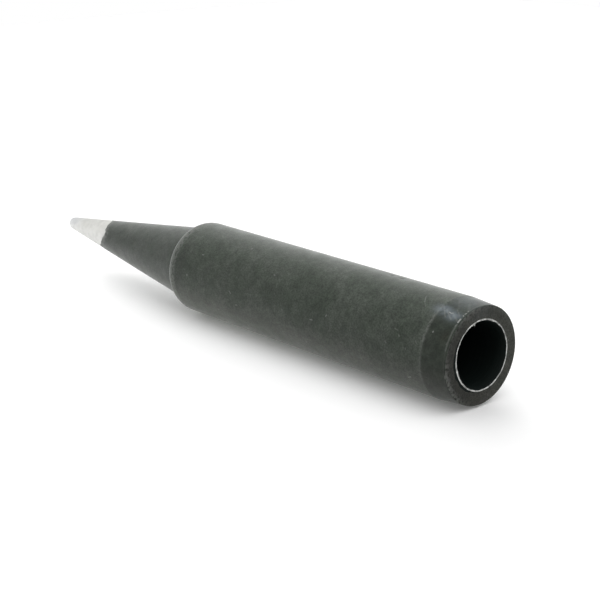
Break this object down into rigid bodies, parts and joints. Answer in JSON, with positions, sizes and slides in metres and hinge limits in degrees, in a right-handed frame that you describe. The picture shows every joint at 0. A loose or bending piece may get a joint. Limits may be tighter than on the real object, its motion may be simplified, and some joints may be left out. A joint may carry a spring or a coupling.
{
  "type": "soldering iron tip",
  "caption": "One-piece soldering iron tip: dark coated barrel with a blind heater bore, rounded shoulder, and a cone with a tinned round nose.",
  "frame": {"origin": "centre of the flat rear face, which the tip stands on", "axes": "+Z along the turning axis, from the rear face towards the working point; X and Y are any two directions square to it"},
  "size_m": [0.0065, 0.0064, 0.044],
  "materials": {
    "dark_coat": "matte dark green-grey coating over iron-plated copper",
    "tinned_end": "satin solder tin",
    "bare_mouth": "bright cut edge round the bore"
  },
  "bodies": {
    "root": {"soldering_tip": "dark_coat"}
  },
  "joints": []
}
